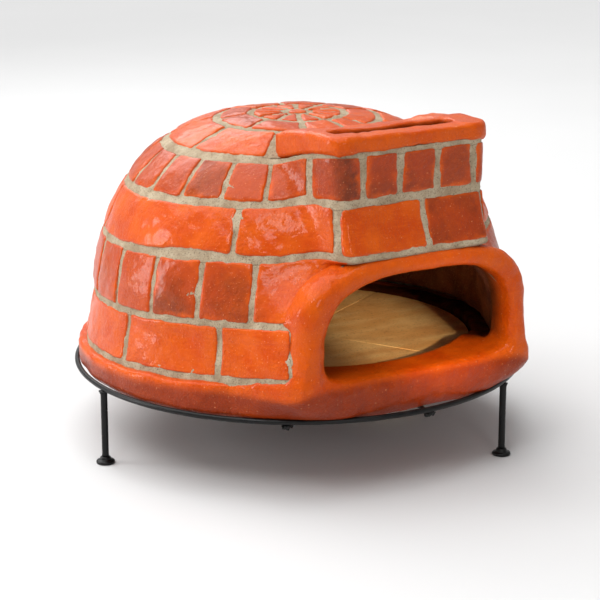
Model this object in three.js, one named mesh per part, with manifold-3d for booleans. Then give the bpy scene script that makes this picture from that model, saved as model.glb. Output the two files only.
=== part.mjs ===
// Brick-clad clay pizza oven on a round steel stand. Millimetres, +Z up, the oven's mouth faces -Y.
// The oven is one lift-off clay body; the stand is a welded ring with three legs and two bars.
// Heights below are measured from the centre plane of the stand's ring until the last section,
// which moves everything so that the origin is the bottom centre of the whole object.
import * as THREE from "three";
import { mergeVertices } from "three/addons/utils/BufferGeometryUtils.js";
import Module from "manifold-3d";

const wasm = await Module();
wasm.setup();

// ---- driving dimensions -----------------------------------------------------------------------
const GAP = 0.3;

const RING_HEIGHT = 112;
const RING_RADIUS = 330;
const RING_ROD_RADIUS = 4;
const LEG_ROD_RADIUS = 5;
const LEG_ANGLES = { left: -88, right: 32, rear: 152 };
const FOOT_RADIUS = 13.5;
const FOOT_THICKNESS = 10;
const BAR_DIRECTION = -16;
const BAR_OFFSET = 101;

const DOME_RADIUS = 304;
const DOME_SHOULDER = 101;
const DOME_RISE = 265;
const DOME_RADIUS_POWER = 3.1;
const DOME_RISE_POWER = 1.86;
const DOME_FLARE = 0.2;

const BRICK_DEPTH = 12;
const GROOVE_DEPTH = 7;
const MORTAR_RECESS = 2.5;
const SHELL_DEPTH = 34;
const SHELL_GAP = 2.4;
const CAP_BED_DEPTH = 8.5;
const BED_GAP = 0.6;
const FINGER_GAP = 1.4;
const CLEAR_OUT = 1;
const JOINT_HALF = 4;

const HOOD_FRONT = 291;
const HOOD_LEFT = 117;
const HOOD_RIGHT = 132;
const HOOD_SPLAY = 3;
const HOOD_FILLET = 26;
const HOOD_CORNER = 14;
const HOOD_WALL_RATIO = 0.7;
const HOOD_RISE = 32;
const HOOD_BASE_RISE = 9;
const HOOD_BASE = 209;
const HOOD_FLARE = 21;
const HOOD_FLARE_TOP = 291;
const HOOD_FLARE_HEIGHT = 70;
const HOOD_REACH = 42;
const PORCH_TANGENT = 62.6;
const PORCH_INNER = 29;
const PORCH_CLIMB = 0.278;
const CAP_TOP = 384;
const CAP_BACK = 214;
const SLOT = { halfLength: 94, front: 255, back: 235 };

const FLANGE_RADIUS = 328;
const FLANGE_BOTTOM = -RING_ROD_RADIUS + GAP;
const FLANGE_TOP = 47;
const FLANGE_ROUND = 16;
const FLOOR_RECESS_RADIUS = 259;
const FLOOR_RECESS_HEIGHT = 18;
const TILE_TOP = 30;
const TILE_SEAM_ANGLE = 29;

const MOUTH_CENTRE = 92;
const MOUTH_FRONT = 318;
const MOUTH_INNER = { halfWidth: 143, rise: 99, drop: 36, power: 3 };
const MOUTH_OUTER = { halfWidth: 188, rise: 125, drop: 87, power: 3.6 };
const MOUTH_ROUND = 20;

const COLOURS = {
  orangeClay: [0xd9541e, 0.5, 0],
  redClay: [0x9c3f24, 0.55, 0],
  mortar: [0xa58f70, 0.95, 0],
  innerClay: [0x8a4a2c, 0.9, 0],
  tile: [0xb98a5e, 0.85, 0],
  blackSteel: [0x17171a, 0.35, 0.9],
};

// ---- solids and booleans ----------------------------------------------------------------------
const radians = THREE.MathUtils.degToRad;

function toSolid(geometry) {
  const bare = geometry.clone();
  bare.deleteAttribute("normal");
  bare.deleteAttribute("uv");
  const merged = mergeVertices(bare, 1e-4);
  const vertProperties = new Float32Array(merged.attributes.position.array);
  const triVerts = new Uint32Array(merged.index.array);
  return new wasm.Manifold(new wasm.Mesh({ numProp: 3, vertProperties, triVerts }));
}

function toGeometry(solid) {
  const mesh = solid.getMesh();
  const geometry = new THREE.BufferGeometry();
  geometry.setAttribute("position", new THREE.BufferAttribute(mesh.vertProperties, 3));
  geometry.setIndex(new THREE.BufferAttribute(mesh.triVerts, 1));
  return geometry;
}

function subtract(geometry, ...cutters) {
  return toGeometry(cutters.reduce((solid, cutter) => solid.subtract(toSolid(cutter)), toSolid(geometry)));
}

function unite(...geometries) {
  return toGeometry(geometries.map(toSolid).reduce((whole, solid) => whole.add(solid)));
}

function intersect(first, second) {
  return toGeometry(toSolid(first).intersect(toSolid(second)));
}

// ---- outer skin of the dome and hood ----------------------------------------------------------
// A level runs up the dome's side: below zero it is a height, from zero to a quarter turn it is
// the angle of the rounded upper part. An angle runs round the dome from the mouth towards +X.
const LOW_LEVEL_SCALE = 100;

function levelAtHeight(z) {
  if (z < DOME_SHOULDER) return (z - DOME_SHOULDER) / LOW_LEVEL_SCALE;
  return Math.asin(((z - DOME_SHOULDER) / DOME_RISE) ** (DOME_RISE_POWER / 2));
}

function levelAtRadius(r) {
  return Math.acos((r / DOME_RADIUS) ** (DOME_RADIUS_POWER / 2));
}

function profilePoint(level) {
  const up = Math.max(level, 0);
  const z = level < 0
    ? DOME_SHOULDER + level * LOW_LEVEL_SCALE
    : DOME_SHOULDER + DOME_RISE * Math.sin(up) ** (2 / DOME_RISE_POWER);
  const flare = DOME_FLARE * Math.max(0, DOME_SHOULDER - z);
  return { r: DOME_RADIUS * Math.cos(up) ** (2 / DOME_RADIUS_POWER) + flare, z };
}

// The flared foot of the wall is layered level, the rounded part square to its slope.
function profileNormal(level) {
  if (level < 0) return { r: 1, z: 0 };
  const step = 0.002;
  const a = profilePoint(level - step);
  const b = profilePoint(Math.min(level + step, Math.PI / 2));
  const length = Math.hypot(b.r - a.r, b.z - a.z);
  return { r: (b.z - a.z) / length, z: (a.r - b.r) / length };
}

function smoothMax(a, b, k) {
  const h = Math.max(k - Math.abs(a - b), 0) / k;
  return Math.max(a, b) + (h * h * k) / 4;
}

function smoothMin(a, b, k) {
  return -smoothMax(-a, -b, k);
}

// Beds climb towards the hood's front, so the courses rise with them.
function hoodLift(angle, z) {
  const side = 1 - THREE.MathUtils.smoothstep(Math.abs(angle), 20, HOOD_REACH);
  const low = HOOD_BASE_RISE * THREE.MathUtils.smoothstep(z, 140, HOOD_BASE);
  const climb = THREE.MathUtils.smoothstep(z, 262, 350) ** 0.8;
  return side * (low + (HOOD_RISE - HOOD_BASE_RISE) * climb);
}

// Low down, the wall runs straight from the dome to the lip of the mouth instead of round.
function porchSpread(angle, z) {
  const turn = radians(Math.max(0, PORCH_TANGENT - Math.max(Math.abs(angle), PORCH_INNER)));
  const fade = 1 - 0.9 * THREE.MathUtils.smoothstep(z, DOME_SHOULDER, HOOD_BASE);
  return 1 + (1 / Math.cos(turn) - 1) * fade;
}

function hoodRadius(angle, height, depth) {
  const turn = radians(Math.abs(angle));
  const splay = radians(HOOD_SPLAY);
  const flare = HOOD_FLARE * (Math.max(0, HOOD_FLARE_TOP - height) / HOOD_FLARE_HEIGHT) ** 1.5;
  const front = HOOD_FRONT + flare + depth * HOOD_WALL_RATIO;
  const halfWidth = (angle < 0 ? HOOD_LEFT : HOOD_RIGHT) + depth * HOOD_WALL_RATIO;
  const flank = (halfWidth * Math.cos(splay) + front * Math.sin(splay)) / Math.sin(turn + splay);
  return smoothMin(front / Math.cos(turn), flank, HOOD_CORNER);
}

const HOOD_TOP_LEVEL = levelAtRadius(184);

function skinPoint(angle, level, depth) {
  const { r, z } = profilePoint(level);
  const normal = profileNormal(level);
  const underCap = level <= HOOD_TOP_LEVEL + 1e-6;
  const hooded = underCap && z > HOOD_BASE - 1 && Math.abs(angle) < 70;
  const round = Math.max(r + normal.r * depth, 0);
  const dome = round * (z < HOOD_BASE + 1 ? porchSpread(angle, z) : 1);
  const climb = (underCap ? hoodLift(angle, z) : 0) + PORCH_CLIMB * (dome - round);
  const height = z + normal.z * depth + climb;
  const radius = hooded ? smoothMax(dome, hoodRadius(angle, height, depth), HOOD_FILLET) : dome;
  const turn = radians(angle);
  return new THREE.Vector3(radius * Math.sin(turn), -radius * Math.cos(turn), height);
}

// Every layer of the skin shares the same upright facets, so neighbouring pieces stay parallel.
const FACET_EDGES = [];
for (let angle = -45; angle < 45; angle += 5) FACET_EDGES.push(angle);
for (let angle = 45; angle <= 315; angle += 10) FACET_EDGES.push(angle);

function facetPoint(angle, level, depth) {
  const turned = THREE.MathUtils.euclideanModulo(angle + 45, 360) - 45;
  const next = Math.max(1, FACET_EDGES.findIndex((edge) => edge >= turned));
  const [low, high] = [FACET_EDGES[next - 1], FACET_EDGES[next]];
  const signed = (edge) => (edge > 180 ? edge - 360 : edge);
  const onFacet = (layerDepth) => {
    const start = skinPoint(signed(low), level, layerDepth);
    return start.lerp(skinPoint(signed(high), level, layerDepth), (turned - low) / (high - low));
  };
  return onFacet(0).lerp(onFacet(-BRICK_DEPTH), -depth / BRICK_DEPTH);
}

// A column is { angle, shift, depth }: shift moves it sideways by a length, so joints keep width.
function columnPoint(column, level, depth) {
  const { r } = profilePoint(level);
  const angle = column.angle + THREE.MathUtils.radToDeg((column.shift ?? 0) / r);
  return facetPoint(angle, level, depth);
}

// A closed layer between an outer and an inner depth, over columns and levels of the skin.
function layer({ columns, levels, outer, inner, closed }) {
  const positions = [];
  const put = (point) => positions.push(point.x, point.y, point.z);
  for (const level of levels) {
    for (const column of columns) put(columnPoint(column, level, column.depth ?? outer));
  }
  for (const level of levels) {
    for (const column of columns) put(columnPoint(column, level, inner));
  }
  const wide = columns.length;
  const innerStart = wide * levels.length;
  const index = [];
  const quad = (a, b, c, d) => index.push(a, b, c, a, c, d);
  const spans = closed ? wide : wide - 1;
  for (let j = 0; j < spans; j += 1) {
    const k = (j + 1) % wide;
    for (let i = 0; i + 1 < levels.length; i += 1) {
      const low = i * wide;
      const high = low + wide;
      quad(low + j, low + k, high + k, high + j);
      quad(innerStart + low + k, innerStart + low + j, innerStart + high + j, innerStart + high + k);
    }
    const top = innerStart - wide;
    quad(innerStart + j, innerStart + k, k, j);
    quad(top + j, top + k, innerStart + top + k, innerStart + top + j);
  }
  if (!closed) {
    for (let i = 0; i + 1 < levels.length; i += 1) {
      const low = i * wide;
      const high = low + wide;
      quad(low, high, innerStart + high, innerStart + low);
      const last = wide - 1;
      quad(low + last, innerStart + low + last, innerStart + high + last, high + last);
    }
  }
  const geometry = new THREE.BufferGeometry();
  geometry.setAttribute("position", new THREE.Float32BufferAttribute(positions, 3));
  geometry.setIndex(index);
  return geometry;
}

function facetColumns(from, to, joints, keepClear) {
  const clear = (angle) => joints.every((joint) => Math.abs(joint - angle) > keepClear);
  const columns = [];
  for (const turn of [-360, 0]) {
    for (const edge of FACET_EDGES.slice(0, -1)) {
      const angle = edge + turn;
      if (angle > from + 0.5 && angle < to - 0.5 && clear(angle)) columns.push({ angle });
    }
  }
  return columns;
}

// ---- brick courses and mortar -----------------------------------------------------------------
// Joints are the angles of the upright mortar joints. A course with an open run starts and ends
// at the run's angles; one without goes all the way round.
const CROWN_GAP = 0.8;

function evenJoints(first, spacing, count) {
  return Array.from({ length: count }, (_, i) => first - i * spacing).reverse();
}

const COURSES = [
  { name: "1", levels: [levelAtHeight(55), levelAtHeight(122)], run: [-326.8, -33.2],
    bedRun: [-331, -29], ends: [-327.6, -32.4],
    joints: evenJoints(-51.5, 31.5, 9) },
  { name: "2", levels: [130, 170, 209].map(levelAtHeight), run: [-340, -20],
    bedRun: [-340, -20],
    joints: evenJoints(-43, 15.5, 18) },
  { name: "3", levels: [217, 245, 277].map(levelAtHeight),
    joints: [-308, -250, -172, -112, -50, -21.5, 4, 22.5] },
  { name: "4", levels: [levelAtHeight(285), levelAtHeight(328)],
    joints: [-316, ...evenJoints(-42, 15.5, 17), -28, -14.5, -3, 9, 20, 31] },
  { name: "5", levels: [levelAtRadius(182), levelAtRadius(124)], run: [-314, -46],
    bedRun: [-316.5, -43.5],
    joints: evenJoints(-84.5, 38.5, 6) },
  { name: "6", levels: [levelAtRadius(114), levelAtRadius(74)],
    joints: [...evenJoints(-27, 42, 7), 5, 27] },
  { name: "7", levels: [levelAtRadius(64), levelAtRadius(22)], joints: evenJoints(-28, 30, 12) },
];
const WALL_BEDS = [FLANGE_TOP, 122, 209, 277, 328];
const FIRST_HOOD_COURSE = 2;
const CAP_COURSE = 4;
const KEYSTONE_RADIUS = 13;

function sortedColumns(columns) {
  return columns.sort((a, b) => a.angle - b.angle || (a.shift ?? 0) - (b.shift ?? 0));
}

function courseStart(course) {
  return course.run ? course.run[0] : Math.min(...course.joints) - 1;
}

function clearAngle(course) {
  const tightest = profilePoint(course.levels[course.levels.length - 1]).r;
  return THREE.MathUtils.radToDeg((JOINT_HALF + 2) / tightest);
}

function courseColumns(course, grooveDepth) {
  const start = courseStart(course);
  const end = course.run ? course.run[1] : start + 360;
  const columns = facetColumns(start, end, course.joints, clearAngle(course));
  for (const angle of course.joints) {
    columns.push({ angle, shift: -JOINT_HALF - 0.6 });
    columns.push({ angle, shift: -JOINT_HALF, depth: grooveDepth });
    columns.push({ angle, shift: JOINT_HALF, depth: grooveDepth });
    columns.push({ angle, shift: JOINT_HALF + 0.6 });
  }
  if (course.run) columns.push({ angle: start }, { angle: end });
  return sortedColumns(columns);
}

function brickCourse(course) {
  return layer({
    columns: courseColumns(course, -GROOVE_DEPTH), levels: course.levels,
    outer: 0, inner: -BRICK_DEPTH, closed: !course.run,
  });
}

// The space a course fills, a little oversize, cut from its neighbours where the hood twists them.
function courseClearance(course) {
  const spare = BED_GAP / DOME_RISE;
  const levels = [...course.levels];
  levels[0] -= spare;
  levels[levels.length - 1] += spare;
  return layer({
    columns: courseColumns(course, CLEAR_OUT), levels,
    outer: CLEAR_OUT, inner: -BRICK_DEPTH - BED_GAP, closed: !course.run,
  });
}

function mortarBed(from, to, run, depth = BRICK_DEPTH) {
  const [start, end] = run ?? [-360.4, 0];
  const columns = facetColumns(run ? start : -361, run ? end : -0.4, [], 0);
  if (run) columns.push({ angle: start }, { angle: end });
  return layer({
    columns: sortedColumns(columns), levels: [from, to],
    outer: -MORTAR_RECESS, inner: -depth, closed: !run,
  });
}

function mortarFinger(angle, bedLevel, levels) {
  const half = JOINT_HALF - 1;
  return layer({
    columns: [{ angle, shift: -half }, { angle, shift: half }],
    levels: [bedLevel, ...levels], outer: -MORTAR_RECESS, inner: -GROOVE_DEPTH + FINGER_GAP, closed: false,
  });
}

// The bed under a course together with the upright joints that stand on it.
function courseMortar(course, k) {
  const [bedFrom, bedTo] = bedLevels(k);
  const middle = (bedFrom + bedTo) / 2;
  const upright = [...course.joints, ...(course.ends ?? [])];
  const fingers = upright.map((angle) => mortarFinger(angle, middle, course.levels));
  const depth = k === CAP_COURSE ? CAP_BED_DEPTH : BRICK_DEPTH;
  let bed = mortarBed(bedFrom, bedTo, course.bedRun, depth);
  if (k === CAP_COURSE) bed = unite(bed, roofPad());
  if (k >= FIRST_HOOD_COURSE && k <= CAP_COURSE) {
    bed = subtract(bed, ...COURSES.slice(k - 1, k + 1).map(courseClearance));
  }
  return unite(bed, ...fingers);
}

function bedLevels(k) {
  if (k < 4) {
    return [levelAtHeight(WALL_BEDS[k] + BED_GAP), COURSES[k].levels[0] - levelStep(k)];
  }
  const below = COURSES[k - 1].levels;
  const gap = CROWN_GAP / DOME_RADIUS;
  return [below[below.length - 1] + gap, COURSES[k].levels[0] - gap];
}

function levelStep(k) {
  return COURSES[k].levels[0] - levelAtHeight(profilePoint(COURSES[k].levels[0]).z - BED_GAP);
}

function keystone() {
  return layer({
    columns: facetColumns(-361, -0.4, [], 0),
    levels: [levelAtRadius(KEYSTONE_RADIUS), levelAtRadius(2)],
    outer: 0, inner: -BRICK_DEPTH, closed: true,
  });
}

// ---- clay body --------------------------------------------------------------------------------
// Solid bounded by the skin at one depth, from a flat base up to the crown.
function skinSolid(depth, base) {
  const levels = [base, 122, 130, 170, 209, 217, 245, 277, 285, 328].map(levelAtHeight);
  levels.push(HOOD_TOP_LEVEL, ...[182.5, 124, 74, 22].map(levelAtRadius));
  const columns = facetColumns(-361, -0.4, [], 0);
  const positions = [];
  for (const level of levels) {
    for (const column of columns) {
      const point = columnPoint(column, level, depth);
      positions.push(point.x, point.y, level === levels[0] ? base : point.z);
    }
  }
  const wide = columns.length;
  const crown = positions.length / 3;
  positions.push(0, 0, DOME_SHOULDER + DOME_RISE + depth);
  positions.push(0, 0, base);
  const index = [];
  for (let j = 0; j < wide; j += 1) {
    const k = (j + 1) % wide;
    for (let i = 0; i + 1 < levels.length; i += 1) {
      const low = i * wide;
      const high = low + wide;
      index.push(low + j, low + k, high + k, low + j, high + k, high + j);
    }
    const top = crown - wide;
    index.push(top + j, top + k, crown);
    index.push(k, j, crown + 1);
  }
  const geometry = new THREE.BufferGeometry();
  geometry.setAttribute("position", new THREE.Float32BufferAttribute(positions, 3));
  geometry.setIndex(index);
  return geometry;
}

function box(x0, x1, y0, y1, z0, z1) {
  const geometry = new THREE.BoxGeometry(x1 - x0, y1 - y0, z1 - z0);
  return geometry.translate((x0 + x1) / 2, (y0 + y1) / 2, (z0 + z1) / 2);
}

function flueCutter() {
  return box(-SLOT.halfLength, SLOT.halfLength, -SLOT.front, -SLOT.back, 290, CAP_TOP + 20);
}

// Outline of the mouth in the X-Z plane, drawn in X and Y; grow widens it all round.
function mouthOutline(size, grow, count) {
  const points = [];
  for (let i = 0; i < count; i += 1) {
    const turn = (i / count) * 2 * Math.PI;
    const [c, s] = [Math.cos(turn), Math.sin(turn)];
    const reach = (s > 0 ? size.rise : size.drop) + grow;
    const x = Math.sign(c) * Math.abs(c) ** (2 / size.power) * (size.halfWidth + grow);
    const z = Math.sign(s) * Math.abs(s) ** (2 / size.power) * reach;
    points.push(new THREE.Vector2(x, MOUTH_CENTRE + z));
  }
  return points;
}

function standUpright(geometry, front) {
  return geometry.rotateX(Math.PI / 2).translate(0, -front, 0);
}

const DEEP_IN = 180;

function mouthCutter() {
  const shape = new THREE.Shape(mouthOutline(MOUTH_OUTER, GAP, 40));
  const block = new THREE.ExtrudeGeometry(shape, { depth: 220, bevelEnabled: false });
  const upright = standUpright(block, DEEP_IN);
  return subtract(upright, floorCylinder(FLOOR_RECESS_RADIUS - 3));
}

function floorCylinder(radius) {
  const geometry = new THREE.CylinderGeometry(radius, radius, 1000, 60);
  return geometry.rotateX(Math.PI / 2);
}

function doorSurround() {
  const shape = new THREE.Shape(mouthOutline(MOUTH_OUTER, 0, 40));
  shape.holes.push(new THREE.Path(mouthOutline(MOUTH_INNER, 0, 36)));
  const lip = new THREE.ExtrudeGeometry(shape, {
    depth: MOUTH_FRONT - DEEP_IN - 2 * MOUTH_ROUND, bevelEnabled: true, bevelThickness: MOUTH_ROUND,
    bevelSize: 11, bevelOffset: -11, bevelSegments: 3,
  });
  lip.translate(0, 0, MOUTH_ROUND);
  const upright = standUpright(lip, DEEP_IN);
  return subtract(upright, floorCylinder(FLOOR_RECESS_RADIUS + GAP));
}

function domeShell(cutter) {
  const outer = skinSolid(-BRICK_DEPTH - SHELL_GAP, FLANGE_TOP + GAP);
  const inner = skinSolid(-SHELL_DEPTH, FLANGE_TOP - 20);
  const frontCourses = COURSES.slice(FIRST_HOOD_COURSE - 1, CAP_COURSE);
  return subtract(outer, inner, cutter, flueCutter(), ...frontCourses.map(courseClearance));
}

function basePan(cutter) {
  const profile = new THREE.Path();
  profile.moveTo(0, FLANGE_BOTTOM);
  profile.lineTo(FLANGE_RADIUS - FLANGE_ROUND, FLANGE_BOTTOM);
  profile.absarc(FLANGE_RADIUS - FLANGE_ROUND, FLANGE_BOTTOM + FLANGE_ROUND, FLANGE_ROUND,
    -Math.PI / 2, 0, false);
  profile.lineTo(FLANGE_RADIUS, FLANGE_TOP - 9);
  profile.absarc(FLANGE_RADIUS - 9, FLANGE_TOP - 9, 9, 0, Math.PI / 2, false);
  profile.lineTo(FLOOR_RECESS_RADIUS, FLANGE_TOP);
  profile.lineTo(FLOOR_RECESS_RADIUS, FLOOR_RECESS_HEIGHT);
  profile.lineTo(0, FLOOR_RECESS_HEIGHT);
  const pan = new THREE.LatheGeometry(profile.getPoints(3), 48).rotateX(Math.PI / 2);
  return subtract(pan, cutter);
}

function floorTile(quarter) {
  const start = radians(TILE_SEAM_ANGLE - 90 + 90 * quarter);
  const radius = FLOOR_RECESS_RADIUS - 2;
  const seam = 0.6;
  const middle = start + Math.PI / 4;
  const shape = new THREE.Shape();
  shape.moveTo(0, 0);
  shape.absarc(0, 0, radius, start, start + Math.PI / 2, false);
  shape.lineTo(0, 0);
  const tile = new THREE.ExtrudeGeometry(shape, {
    depth: TILE_TOP - FLOOR_RECESS_HEIGHT - GAP, bevelEnabled: false, curveSegments: 18,
  });
  return tile.translate(seam * Math.cos(middle), seam * Math.sin(middle), FLOOR_RECESS_HEIGHT + GAP);
}

// The coping of the flue: a level block round the slot that slopes back into the crown.
function flueCap() {
  const side = new THREE.Shape();
  side.moveTo(-HOOD_FRONT, 320);
  side.lineTo(-HOOD_FRONT, CAP_TOP - 6);
  side.lineTo(-HOOD_FRONT + 6, CAP_TOP);
  side.lineTo(-CAP_BACK - 5, CAP_TOP);
  side.lineTo(-CAP_BACK + 4, CAP_TOP - 5);
  side.lineTo(-172, CAP_TOP - 16);
  side.lineTo(-85, CAP_TOP - 19);
  side.lineTo(-85, 320);
  const block = new THREE.ExtrudeGeometry(side, { depth: 320, bevelEnabled: false });
  block.applyMatrix4(new THREE.Matrix4().set(0, 0, 1, -160, 1, 0, 0, 0, 0, 1, 0, 0, 0, 0, 0, 1));
  const spread = Math.tan(radians(HOOD_SPLAY)) * 100;
  const plan = new THREE.Shape();
  plan.moveTo(-HOOD_LEFT + 8, -HOOD_FRONT - 1);
  plan.lineTo(HOOD_RIGHT - 8, -HOOD_FRONT - 1);
  plan.lineTo(HOOD_RIGHT, -HOOD_FRONT + 8);
  plan.lineTo(HOOD_RIGHT + spread, -HOOD_FRONT + 108);
  plan.lineTo(...onCircle(HOOD_REACH, 188));
  plan.lineTo(...onCircle(HOOD_REACH, 120));
  plan.lineTo(...onCircle(-HOOD_REACH, 120));
  plan.lineTo(...onCircle(-HOOD_REACH, 188));
  plan.lineTo(-HOOD_LEFT - spread, -HOOD_FRONT + 108);
  plan.lineTo(-HOOD_LEFT, -HOOD_FRONT + 8);
  const prism = new THREE.ExtrudeGeometry(plan, { depth: 120, bevelEnabled: false });
  prism.translate(0, 0, 300);
  return subtract(intersect(block, prism), skinSolid(GAP, 250), flueCutter(), floorCylinder(124));
}

// Mortar pad that beds the flue cap on the sloping roof of the hood.
function roofPad() {
  const angles = FACET_EDGES.filter((edge) => edge <= HOOD_REACH + 3);
  const low = bedLevels(4)[0];
  const pad = layer({
    columns: angles.map((angle) => ({ angle })),
    levels: [low, HOOD_TOP_LEVEL, levelAtRadius(182.5), levelAtRadius(124)],
    outer: -GAP, inner: -BRICK_DEPTH + 2.5, closed: false,
  });
  return subtract(pad, flueCutter());
}

// ---- stand ------------------------------------------------------------------------------------
function onCircle(angle, radius) {
  return [radius * Math.sin(radians(angle)), -radius * Math.cos(radians(angle))];
}

function standRing() {
  return new THREE.TorusGeometry(RING_RADIUS, RING_ROD_RADIUS, 8, 60);
}

function standLeg(angle) {
  const [x, y] = onCircle(angle, RING_RADIUS);
  const top = -RING_ROD_RADIUS - GAP;
  const bottom = -RING_HEIGHT + FOOT_THICKNESS + GAP;
  const leg = new THREE.CylinderGeometry(LEG_ROD_RADIUS, LEG_ROD_RADIUS, top - bottom, 12);
  return leg.rotateX(Math.PI / 2).translate(x, y, (top + bottom) / 2);
}

function standFoot(angle) {
  const [x, y] = onCircle(angle, RING_RADIUS);
  const edge = 3;
  const profile = new THREE.Path();
  profile.moveTo(0, 0);
  profile.lineTo(FOOT_RADIUS - 1, 0);
  profile.lineTo(FOOT_RADIUS, edge);
  profile.lineTo(FOOT_RADIUS - 1.5, FOOT_THICKNESS - edge);
  profile.lineTo(LEG_ROD_RADIUS + 1.5, FOOT_THICKNESS);
  profile.lineTo(0, FOOT_THICKNESS);
  const foot = new THREE.LatheGeometry(profile.getPoints(), 20).rotateX(Math.PI / 2);
  return foot.translate(x, y, -RING_HEIGHT);
}

function supportBar(side) {
  const length = 2 * Math.sqrt(RING_RADIUS ** 2 - BAR_OFFSET ** 2);
  const bar = new THREE.CylinderGeometry(RING_ROD_RADIUS, RING_ROD_RADIUS, length, 10);
  bar.translate(side * BAR_OFFSET, 0, -2 * RING_ROD_RADIUS - GAP);
  return bar.rotateZ(radians(BAR_DIRECTION));
}

// ---- assembly ---------------------------------------------------------------------------------
const assembly = new THREE.Group();

function addPart(name, geometry, colour) {
  const [hex, roughness, metalness] = COLOURS[colour];
  const material = new THREE.MeshStandardMaterial({ color: hex, roughness, metalness });
  geometry.translate(0, 0, RING_HEIGHT);
  geometry.computeVertexNormals();
  const mesh = new THREE.Mesh(geometry, material);
  mesh.name = name;
  assembly.add(mesh);
}

function addStand() {
  addPart("stand_ring", standRing(), "blackSteel");
  for (const [place, angle] of Object.entries(LEG_ANGLES)) {
    addPart(`stand_leg_${place}`, standLeg(angle), "blackSteel");
    addPart(`stand_foot_${place}`, standFoot(angle), "blackSteel");
  }
  addPart("support_bar_left", supportBar(-1), "blackSteel");
  addPart("support_bar_right", supportBar(1), "blackSteel");
}

function addClayBody() {
  const cutter = mouthCutter();
  addPart("base_pan", basePan(cutter), "orangeClay");
  addPart("dome_shell", domeShell(cutter), "innerClay");
  addPart("door_surround", doorSurround(), "orangeClay");
  addPart("flue_cap", flueCap(), "orangeClay");
  for (let quarter = 0; quarter < 4; quarter += 1) {
    addPart(`floor_tile_${quarter + 1}`, floorTile(quarter), "tile");
  }
}

function addBrickwork() {
  const cutter = mouthCutter();
  COURSES.forEach((course, k) => {
    const colour = k % 2 === 0 ? "orangeClay" : "redClay";
    let bricks = brickCourse(course);
    let mortar = courseMortar(course, k);
    if (k <= FIRST_HOOD_COURSE) {
      bricks = subtract(bricks, cutter);
      mortar = subtract(mortar, cutter);
    }
    addPart(`brick_course_${course.name}`, bricks, colour);
    addPart(`mortar_course_${course.name}`, mortar, "mortar");
  });
  const crownGap = CROWN_GAP / DOME_RADIUS;
  const top = COURSES[6].levels[1];
  addPart("mortar_keystone",
    mortarBed(top + crownGap, levelAtRadius(KEYSTONE_RADIUS) - crownGap), "mortar");
  addPart("keystone_brick", keystone(), "orangeClay");
}

addStand();
addClayBody();
addBrickwork();

const bounds = new THREE.Box3().setFromObject(assembly);
const centre = bounds.getCenter(new THREE.Vector3());
assembly.position.set(-centre.x, -centre.y, -bounds.min.z);

export default assembly;
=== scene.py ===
"""Looks for a brick-clad clay pizza oven on a round steel stand.

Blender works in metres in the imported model's frame. The shape functions work in millimetres
from the centre of the stand's ring. Angles run round the dome from the mouth (-Y) towards +X.
"""
import math

import bmesh
import bpy
import numpy as np
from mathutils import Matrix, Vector


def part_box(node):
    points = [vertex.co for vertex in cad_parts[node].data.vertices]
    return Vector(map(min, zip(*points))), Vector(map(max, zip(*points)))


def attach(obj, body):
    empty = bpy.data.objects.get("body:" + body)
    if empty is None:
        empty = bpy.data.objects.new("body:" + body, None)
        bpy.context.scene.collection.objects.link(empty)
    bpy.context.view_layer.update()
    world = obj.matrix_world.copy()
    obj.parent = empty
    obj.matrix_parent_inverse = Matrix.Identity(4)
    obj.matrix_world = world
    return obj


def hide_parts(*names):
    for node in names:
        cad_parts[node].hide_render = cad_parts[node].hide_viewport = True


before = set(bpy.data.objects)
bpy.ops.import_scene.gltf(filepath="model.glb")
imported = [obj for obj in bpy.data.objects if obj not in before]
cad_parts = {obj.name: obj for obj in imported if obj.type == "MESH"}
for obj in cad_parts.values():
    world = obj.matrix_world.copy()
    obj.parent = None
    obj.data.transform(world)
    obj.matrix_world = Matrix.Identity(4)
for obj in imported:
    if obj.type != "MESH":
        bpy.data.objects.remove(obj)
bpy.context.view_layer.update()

ring_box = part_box("stand_ring")
ORIGIN = np.array((ring_box[0] + ring_box[1]) / 2)
MM = 0.001
VOXEL = 2.6
CELL = 2.2

# Dome: an upright superellipse of revolution over a slightly flared wall.
DOME_RADIUS = 304
SHOULDER = 101
DOME_RISE = 265
RADIUS_POWER = 3.1
RISE_POWER = 1.86
FLARE = 0.2
WALL_PER_LEVEL = 100  # height in mm of one unit of level below the shoulder
BED_HEIGHTS = (47, 122, 209, 277, 328, 352)
BED_SAGS = (14, 16, 15, 11, 5, 0)

# Depths under the skin are negative.
JOINT_HALF = 3.3
BRICK_ROUND = 3.0
BRICK_BACK = -11
MORTAR_FACE = -2.4
MORTAR_BACK = -9
MORTAR_TUCK = 3
SHELL_OUTSIDE = -13
SHELL_INSIDE = -34

HOOD_FRONT = 291
HOOD_HALF = {"left": 117, "right": 132}
HOOD_SPLAY = math.radians(3)
HOOD_BASE = 209
HOOD_WALL_RATIO = 0.7
HOOD_FLARE = 21
HOOD_FLARE_TOP = 291
HOOD_FLARE_HEIGHT = 70
HOOD_RISES = (9, 23)
CAP_TOP = 384
ROOF_TOP = 369
SLOT = {"centre": (-3, -247), "half_length": 97, "half_width": 11.5}

PORCH_TANGENT = 62.6
PORCH_INNER = 29
PORCH_CLIMB = 0.278

FLANGE_RADIUS = 328
FLANGE_BOTTOM = -3.7
FLANGE_TOP = 47
RECESS_RADIUS = 259
RECESS_FLOOR = 18
TILE_TOP = 30
TILE_SEAM_ANGLE = 29

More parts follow.
